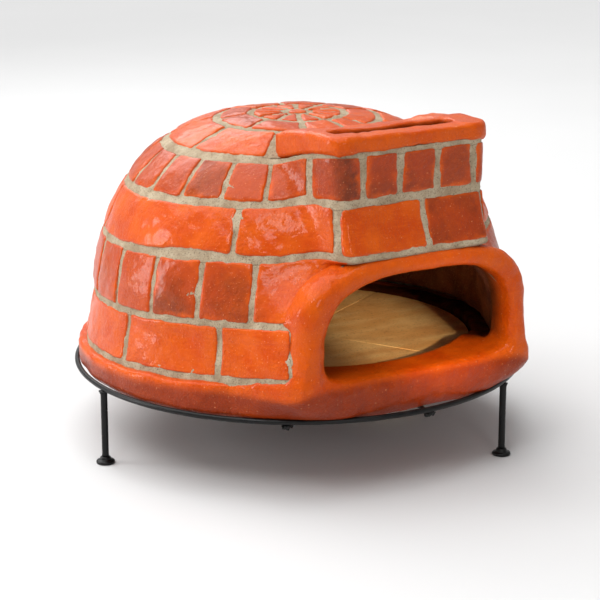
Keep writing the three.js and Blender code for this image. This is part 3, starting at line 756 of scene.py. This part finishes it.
# ---- cooking floor --------------------------------------------------
def build_tiles(material):
    """Four quarter rounds with bevelled top edges and a narrow seam between them."""
    reach, seam = RECESS_RADIUS - 2.2, 0.7
    for quarter in range(4):
        start = TILE_SEAM_ANGLE + 90 * (quarter - 1)
        middle = math.radians(start + 45)
        offset = np.array([seam * math.cos(middle), seam * math.sin(middle)])
        mesh = bmesh.new()
        arc = [math.radians(a) for a in np.linspace(start, start + 90, 40)]
        outline = [offset] + [offset + reach * np.array([math.cos(a), math.sin(a)]) for a in arc]
        bottom = [mesh.verts.new((p[0], p[1], RECESS_FLOOR + 0.3)) for p in outline]
        base = mesh.faces.new(bottom[::-1])
        top = bmesh.ops.extrude_face_region(mesh, geom=[base])["geom"]
        for v in top:
            if isinstance(v, bmesh.types.BMVert):
                v.co.z = TILE_TOP
        bmesh.ops.recalc_face_normals(mesh, faces=mesh.faces)
        edges = [e for e in mesh.edges if all(v.co.z > TILE_TOP - 1 for v in e.verts)]
        bmesh.ops.bevel(mesh, geom=edges, offset=1.8, segments=3, affect="EDGES", profile=0.5)
        name, node = f"hearth_{quarter + 1}", f"floor_tile_{quarter + 1}"
        piece = make_piece(name, "oven", [node], "fire_tile", *take_lists(mesh), material)
        for polygon in piece.data.polygons:
            polygon.use_smooth = len(polygon.vertices) < 20


# ---- stand ----------------------------------------------------------
def tube(centres, radii, sides=20, closed=False):
    """Closed round tube along centres, with its radius at each of them."""
    centres, radii = np.asarray(centres, float), np.asarray(radii, float)
    if closed:
        tangent = np.roll(centres, -1, 0) - np.roll(centres, 1, 0)
    else:
        tangent = np.gradient(centres, axis=0)
    tangent /= np.linalg.norm(tangent, axis=1)[:, None]
    up = np.array([0, 0, 1.0]) if abs(tangent[0, 2]) < 0.7 else np.array([1.0, 0, 0])
    u = np.cross(tangent, up)
    u /= np.linalg.norm(u, axis=1)[:, None]
    v = np.cross(u, tangent)
    turn = np.linspace(0, 2 * math.pi, sides, endpoint=False)
    ring = np.cos(turn)[None, :, None] * u[:, None] + np.sin(turn)[None, :, None] * v[:, None]
    points = centres[:, None] + radii[:, None, None] * ring
    index = np.arange(len(centres) * sides).reshape(len(centres), sides)
    wrap = np.concatenate([index, index[:, :1]], 1)
    if closed:
        wrap = np.concatenate([wrap, wrap[:1]])
    faces = grid_quads(wrap)[:, ::-1].tolist()
    if not closed:
        faces += [index[0].tolist(), index[-1, ::-1].tolist()]
    return points.reshape(-1, 3), faces


def lathe(reach, heights, x, y, sides=36):
    """Closed solid of revolution about an upright axis."""
    turn = np.linspace(0, 2 * math.pi, sides, endpoint=False)
    rows = [np.stack([x + r * np.cos(turn), y + r * np.sin(turn), np.full(sides, h)], -1)
            for r, h in zip(reach, heights)]
    index = np.arange(len(rows) * sides).reshape(len(rows), sides)
    wrap = np.concatenate([index, index[:, :1]], 1)
    faces = grid_quads(wrap).tolist() + [index[0, ::-1].tolist(), index[-1].tolist()]
    return np.concatenate(rows), faces


def weld(centre, size, seed):
    """Lumpy bead of weld metal."""
    mesh = bmesh.new()
    bmesh.ops.create_icosphere(mesh, subdivisions=3, radius=1)
    points, faces = take_lists(mesh)
    lumps = 1 + 0.16 * waves(seed, 1.2)(*points.T) + 0.05 * waves(seed + 1, 0.45)(*points.T)
    return points * lumps[:, None] * np.array(size) + np.array(centre), faces


RING_RADIUS = 330
RING_ROD = 4
LEG_ROD = 5
BAR_HEADING = math.radians(-16)
BAR_OFFSET = 101
BAR_HEIGHT = -8.3
FOOT_BOTTOM = -112
LEG_ANGLES = {"left": -88, "right": 32, "rear": 152}
RING_JOINT_ANGLE = 167


def on_ring(angle):
    turn = math.radians(angle)
    return RING_RADIUS * math.sin(turn), -RING_RADIUS * math.cos(turn)


def build_ring(material):
    turn = np.linspace(0, 2 * math.pi, 240, endpoint=False)
    warp = 0.35 * np.sin(3 * turn + 0.6) + 0.25 * np.sin(5 * turn)
    centres = np.stack([RING_RADIUS * np.sin(turn), -RING_RADIUS * np.cos(turn), 0 * turn], -1)
    parts = Parts()
    parts.add(*tube(centres, RING_ROD - 0.1 + 0.04 * warp, closed=True))
    parts.add(*weld((*on_ring(RING_JOINT_ANGLE), 0), (4.2, 4.2, 4.1), 90))
    parts.build("ring_rod", "stand", ["stand_ring"], "black_steel", material)


def build_legs(material):
    for k, (place, angle) in enumerate(LEG_ANGLES.items()):
        x, y = on_ring(angle)
        heights = np.linspace(-RING_ROD - 0.3, FOOT_BOTTOM + 9.5, 26)
        flare = 1.3 * np.exp(-((heights + 4.3) / 3.0) ** 2) + 0.5 * np.exp(-((heights + 102) / 2) ** 2)
        line = np.stack([0 * heights + x, 0 * heights + y, heights], -1)
        parts = Parts()
        parts.add(*tube(line, LEG_ROD - 0.05 + flare))
        parts.add(*weld((x, y, -4.6), (6.3, 6.3, 2.6), 93 + k))
        parts.build(f"leg_{place}", "stand", [f"stand_leg_{place}"], "black_steel", material)
        reach = [9, 12.4, 13.2, 13.5, 13.3, 12.5, 10.6, 8.4, 7.9, 7.6, 6.6, 5.2]
        rise = [0, 0, 0.4, 1.6, 3.1, 4.2, 4.9, 5.3, 6.4, 8.6, 9.7, 10]
        parts = Parts()
        parts.add(*lathe(reach, [FOOT_BOTTOM + h for h in rise], x, y))
        parts.build(f"foot_{place}", "stand", [f"stand_foot_{place}"], "black_steel", material)


def build_bars(material):
    """Two parallel bars under the ring, welded to it at both ends."""
    half = math.sqrt(RING_RADIUS ** 2 - BAR_OFFSET ** 2)
    along = np.array([-math.sin(BAR_HEADING), math.cos(BAR_HEADING), 0])
    across = np.array([math.cos(BAR_HEADING), math.sin(BAR_HEADING), 0])
    for side, place in ((-1, "left"), (1, "right")):
        steps = np.linspace(-half + 1, half - 1, 60)
        line = across * side * BAR_OFFSET + steps[:, None] * along + np.array([0, 0, BAR_HEIGHT])
        ends = np.clip((half - 1 - np.abs(steps)) / 1.5, 0, 1)
        parts = Parts()
        parts.add(*tube(line, (RING_ROD - 0.1) * (0.72 + 0.28 * ends), sides=16))
        for end in (-1, 1):
            spot = across * side * BAR_OFFSET + end * (half - 4) * along + np.array([0, 0, BAR_HEIGHT + 1])
            parts.add(*weld(spot, (6.5, 5.2, 4.4), 97 + side + 3 * end))
            spot = spot + across * 6 - along * end * 1.5
            parts.add(*weld(spot, (4.2, 4.0, 3.6), 107 + side + 3 * end))
        parts.build(f"bar_{place}", "stand", [f"support_bar_{place}"], "black_steel", material)


# ---- materials ------------------------------------------------------
def colour(red, green, blue):
    """Linear colour from 0-255 display values."""
    channels = [c / 255 for c in (red, green, blue)]
    return tuple(c / 12.92 if c <= 0.04045 else ((c + 0.055) / 1.055) ** 2.4 for c in channels) + (1.0,)


class Finish:
    """Small builder for a node material with one Principled shader."""

    def __init__(self, name, **uniform):
        self.material = bpy.data.materials.new(name)
        self.material.use_nodes = True
        self.tree = self.material.node_tree
        self.shader = self.tree.nodes["Principled BSDF"]
        for key, value in uniform.items():
            self.shader.inputs[key.replace("_", " ")].default_value = value
        self.where = self.add("TexCoord").outputs["Object"]

    def add(self, kind, inputs=None, **settings):
        node = self.tree.nodes.new("ShaderNode" + kind)
        for key, value in settings.items():
            setattr(node, key, value)
        for key, value in (inputs or {}).items():
            self.put(node.inputs[key], value)
        return node

    def put(self, socket, value):
        if isinstance(value, bpy.types.NodeSocket):
            self.tree.links.new(value, socket)
        else:
            socket.default_value = value

    def noise(self, scale, detail=3.0, roughness=0.5, stretch=None, offset=(0, 0, 0), distortion=0.0):
        where = self.where
        if stretch or any(offset):
            where = self.add("Mapping", {"Vector": where, "Scale": stretch or (1, 1, 1),
                                         "Location": offset}).outputs[0]
        return self.add("TexNoise", {"Vector": where, "Scale": scale, "Detail": detail,
                                     "Roughness": roughness, "Distortion": distortion}).outputs[0]

    def value(self, name):
        return self.add("Attribute", attribute_name=name).outputs["Fac"]

    def ramp(self, value, low, high, to_low=0.0, to_high=1.0):
        node = self.add("MapRange", {"Value": value, "From Min": low, "From Max": high,
                                     "To Min": to_low, "To Max": to_high})
        node.interpolation_type = "SMOOTHSTEP"
        return node.outputs[0]

    def math(self, operation, a, b=0.0):
        node = self.add("Math", operation=operation)
        self.put(node.inputs[0], a)
        self.put(node.inputs[1], b)
        return node.outputs[0]

    def mix(self, factor, a, b):
        node = self.add("Mix", data_type="RGBA")
        self.put(node.inputs[0], factor)
        self.put(node.inputs[6], a)
        self.put(node.inputs[7], b)
        return node.outputs[2]

    def finish(self, base, rough, *heights):
        """Heights are (value, distance in mm) pairs, each added as a bump; a clear coat lies over
        the first of them only."""
        self.put(self.shader.inputs["Base Color"], base)
        self.put(self.shader.inputs["Roughness"], rough)
        normal = None
        for height, distance in heights:
            inputs = {"Height": height, "Distance": distance * MM, "Strength": 1.0}
            if normal:
                inputs["Normal"] = normal
            normal = self.add("Bump", inputs).outputs[0]
            if not self.shader.inputs["Coat Normal"].is_linked:
                self.put(self.shader.inputs["Coat Normal"], normal)
        if normal:
            self.put(self.shader.inputs["Normal"], normal)
        return self.material


ORANGE = colour(200, 74, 2)
ORANGE_LIGHT = colour(220, 96, 14)
ORANGE_DEEP = colour(186, 52, 4)
STAIN = colour(92, 38, 22)
STAIN_RED = colour(158, 54, 20)
MORTAR = colour(152, 132, 106)
MORTAR_DARK = colour(84, 68, 50)
MORTAR_PALE = colour(184, 168, 142)
# Near-black colour for the darkened jamb, the base inside the dome, the well and the slot's walls.
INNER_DARK = colour(42, 20, 10)
SHEEN = colour(255, 150, 70)


def brick_finish():
    f = Finish("painted_brick", Coat_Weight=0.34, Coat_Roughness=0.13, Specular_IOR_Level=0.3,
               Specular_Tint=SHEEN)
    mottle = f.noise(26, 4, 0.55)
    fine = f.noise(120, 5, 0.6)
    streak = f.noise(60, 3, 0.5, stretch=(1, 1, 5))
    shade = f.value("shade")
    base = f.mix(f.ramp(mottle, 0.32, 0.68), ORANGE_DEEP, ORANGE_LIGHT)
    base = f.mix(0.62, base, ORANGE)
    base = f.mix(f.ramp(streak, 0.45, 0.75, 0, 0.35), base, ORANGE_LIGHT)
    edge = f.value("edge")
    patch = f.math("SUBTRACT", f.noise(38, 4, 0.6, offset=(3, 1, 2)), 0.5)
    patch = f.math("ADD", edge, f.math("MULTIPLY", patch, 26))
    cover = f.ramp(patch, -4, 8)
    cover = f.math("MULTIPLY", cover, f.ramp(fine, 0.2, 0.7, 0.72, 1.0))
    dark = f.mix(f.ramp(f.noise(18, 3, 0.5, offset=(7, 2, 5)), 0.35, 0.65), STAIN, STAIN_RED)
    dark = f.mix(shade, dark, STAIN_RED)
    stain = f.math("MULTIPLY", f.value("stain"), cover)
    stain = f.math("MULTIPLY", stain, f.math("SUBTRACT", 1.0, f.value("lip")))
    base = f.mix(stain, base, dark)
    speck = f.ramp(f.noise(420, 2, 0.5), 0.66, 0.74, 0, 0.5)
    base = f.mix(speck, base, colour(236, 160, 110))
    film = f.math("ADD", edge, f.math("MULTIPLY", f.noise(150, 4, 0.65), 3.2))
    film = f.ramp(film, 1.1, 2.3, 1, 0)
    base = f.mix(f.math("MULTIPLY", film, 0.9), base, MORTAR)
    rough = f.ramp(mottle, 0.3, 0.7, 0.36, 0.52)
    rough = f.math("ADD", rough, f.math("MULTIPLY", film, 0.35))
    wrinkle = f.noise(210, 5, 0.6, distortion=0.6)
    calm = f.ramp(f.noise(14, 2, 0.5, offset=(1, 8, 3)), 0.35, 0.62, 0.35, 1.0)
    wrinkle = f.math("MULTIPLY", wrinkle, calm)
    return f.finish(base, rough, (f.noise(75, 3, 0.5), 1.1), (wrinkle, 3.0), (f.noise(900, 2, 0.5), 0.15))


def clay_finish():
    f = Finish("painted_clay", Coat_Weight=0.26, Coat_Roughness=0.14, Specular_IOR_Level=0.3,
               Specular_Tint=SHEEN)
    mottle = f.noise(20, 4, 0.55)
    base = f.mix(f.ramp(mottle, 0.3, 0.7), ORANGE_DEEP, ORANGE_LIGHT)
    base = f.mix(0.6, base, ORANGE)
    brush = f.noise(55, 3, 0.5, stretch=(1, 1, 4))
    base = f.mix(f.ramp(brush, 0.5, 0.78, 0, 0.3), base, ORANGE_LIGHT)
    worn = f.math("MULTIPLY", f.value("flange"), f.ramp(f.noise(34, 4, 0.6), 0.25, 0.65, 0.8, 1.0))
    base = f.mix(worn, base, colour(138, 44, 12))
    base = f.mix(f.math("MULTIPLY", f.value("stain"), 0.8), base, STAIN_RED)
    speck = f.ramp(f.noise(380, 2, 0.5), 0.68, 0.75, 0, 0.5)
    base = f.mix(speck, base, colour(240, 170, 120))
    # Darkens the jamb, the base inside the dome, the well and the slot's walls towards near black.
    inner_dark = f.math("MULTIPLY", f.value("inner_dark"), f.ramp(f.noise(45, 4, 0.6), 0.2, 0.7, 0.78, 1.0))
    base = f.mix(inner_dark, base, INNER_DARK)
    rough = f.math("ADD", f.ramp(mottle, 0.3, 0.7, 0.36, 0.5), f.math("MULTIPLY", inner_dark, 0.4))
    wrinkle = f.noise(190, 5, 0.62, distortion=0.8)
    return f.finish(base, rough, (f.noise(60, 3, 0.5), 1.2), (wrinkle, 2.4), (f.noise(850, 2, 0.5), 0.15))


def mortar_finish():
    f = Finish("gritty_mortar", Specular_IOR_Level=0.3)
    cloud = f.noise(40, 4, 0.6)
    grit = f.noise(520, 3, 0.7)
    base = f.mix(f.ramp(cloud, 0.3, 0.7), MORTAR, MORTAR_PALE)
    base = f.mix(f.ramp(grit, 0.52, 0.66, 0, 0.75), base, MORTAR_DARK)
    base = f.mix(f.ramp(f.noise(300, 2, 0.6, offset=(4, 4, 4)), 0.62, 0.7, 0, 0.7), base, MORTAR_PALE)
    return f.finish(base, 0.9, (f.noise(260, 4, 0.7), 0.9), (grit, 0.5))


def lining_finish():
    f = Finish("fired_lining", Specular_IOR_Level=0.25)
    cloud = f.noise(16, 5, 0.6)
    base = f.mix(f.ramp(cloud, 0.3, 0.7), colour(120, 62, 36), colour(168, 104, 66))
    base = f.mix(f.ramp(f.noise(340, 3, 0.7), 0.5, 0.7, 0, 0.6), base, colour(196, 150, 104))
    base = f.mix(f.ramp(f.noise(9, 3, 0.5, offset=(2, 5, 1)), 0.4, 0.7, 0, 0.55), base, colour(70, 38, 24))
    return f.finish(base, 0.92, (f.noise(120, 5, 0.7), 2.2), (f.noise(520, 3, 0.6), 0.6))


def tile_finish():
    f = Finish("hearth_tile", Specular_IOR_Level=0.3)
    drift = f.noise(9, 4, 0.55, stretch=(1, 3.2, 1))
    base = f.mix(f.ramp(drift, 0.3, 0.7), colour(230, 166, 96), colour(246, 200, 132))
    base = f.mix(f.ramp(f.noise(30, 5, 0.65), 0.45, 0.75, 0, 0.5), base, colour(200, 132, 74))
    base = f.mix(f.ramp(f.noise(420, 2, 0.6), 0.6, 0.7, 0, 0.6), base, colour(112, 66, 38))
    return f.finish(base, 0.8, (f.noise(150, 4, 0.6), 0.7), (f.noise(600, 2, 0.6), 0.25))


def steel_finish():
    f = Finish("black_paint_on_steel", Coat_Weight=0.05, Coat_Roughness=0.12, Specular_IOR_Level=0.22)
    cloud = f.noise(60, 4, 0.6)
    base = f.mix(f.ramp(cloud, 0.35, 0.7), colour(7, 7, 8), colour(18, 17, 16))
    base = f.mix(f.ramp(f.noise(520, 3, 0.6), 0.66, 0.74, 0, 0.5), base, colour(70, 52, 40))
    rough = f.ramp(cloud, 0.3, 0.7, 0.26, 0.44)
    return f.finish(base, rough, (f.noise(300, 3, 0.6), 0.25), (f.noise(1200, 2, 0.5), 0.06))


def floor_finish():
    f = Finish("studio_floor", Specular_IOR_Level=0.1)
    base = f.mix(f.noise(2, 2, 0.5), colour(206, 206, 206), colour(210, 210, 210))
    return f.finish(base, 0.9)


# ---- studio ---------------------------------------------------------
def area_light(name, place, target, size, power):
    light = bpy.data.lights.new(name, "AREA")
    light.shape, light.size, light.size_y = "RECTANGLE", size[0], size[1]
    light.energy = power
    lamp = link_object(name, light)
    lamp.location = place
    lamp.rotation_euler = facing(Vector(target) - Vector(place))


def build_studio():
    scene = bpy.context.scene
    scene.view_settings.view_transform = "Standard"
    scene.view_settings.exposure = -0.4
    world = bpy.data.worlds.new("studio")
    world.use_nodes = True
    background = world.node_tree.nodes["Background"]
    background.inputs["Color"].default_value = (1, 1, 1, 1)
    background.inputs["Strength"].default_value = 0.5
    scene.world = world
    mesh = bpy.data.meshes.new("studio_floor")
    ring = bmesh.new()
    bmesh.ops.create_circle(ring, cap_ends=True, segments=96, radius=30)
    ring.to_mesh(mesh)
    ring.free()
    mesh.materials.append(floor_finish())
    floor = link_object("studio_floor", mesh)
    floor.location = (0, 0, -0.0005)
    sun = bpy.data.lights.new("overhead", "SUN")
    sun.energy, sun.angle = 3.8, math.radians(70)
    lamp = link_object("overhead", sun)
    lamp.rotation_euler = (math.radians(-12), math.radians(-14), 0)
    area_light("key", (-1.55, -1.25, 2.15), (-0.05, -0.05, 0.3), (0.8, 0.8), 20)
    area_light("front", (-0.55, -2.7, 1.25), (0, -0.1, 0.2), (0.5, 0.5), 10)
    spot = bpy.data.lights.new("mouth", "SPOT")
    spot.energy, spot.color, spot.shadow_soft_size = 480, (1, 0.86, 0.62), 0.04
    spot.spot_size, spot.spot_blend = math.radians(4.8), 0.8
    lamp = link_object("mouth", spot)
    lamp.location = (-0.6, -2.6, 1.0)
    lamp.rotation_euler = facing((0.65, 2.28, -0.79))
    area_light("back", (0.1, 2.6, 2.1), (0, 0, 0.4), (2.6, 1.4), 52)
    area_light("side", (-2.5, 1.35, 0.8), (-0.1, 0, 0.25), (0.9, 1.3), 42)


def build_camera():
    camera = bpy.data.cameras.new("camera")
    camera.lens, camera.sensor_width = 120.3, 36
    holder = link_object("camera", camera)
    holder.location = (-1.5021, -2.4655, 0.9978)
    holder.rotation_euler = facing((0.5032, 0.8212, -0.2689))
    bpy.context.scene.camera = holder


build_camera()
build_studio()
bricks, clay, mortar = brick_finish(), clay_finish(), mortar_finish()
lining, tiles, steel = lining_finish(), tile_finish(), steel_finish()
for k in range(len(COURSES)):
    build_course(k, bricks)
    build_mortar(k, mortar)
build_keystone(bricks, mortar)
build_shell(lining)
build_base(clay)
build_cap(clay)
build_tiles(tiles)
build_ring(steel)
build_legs(steel)
build_bars(steel)
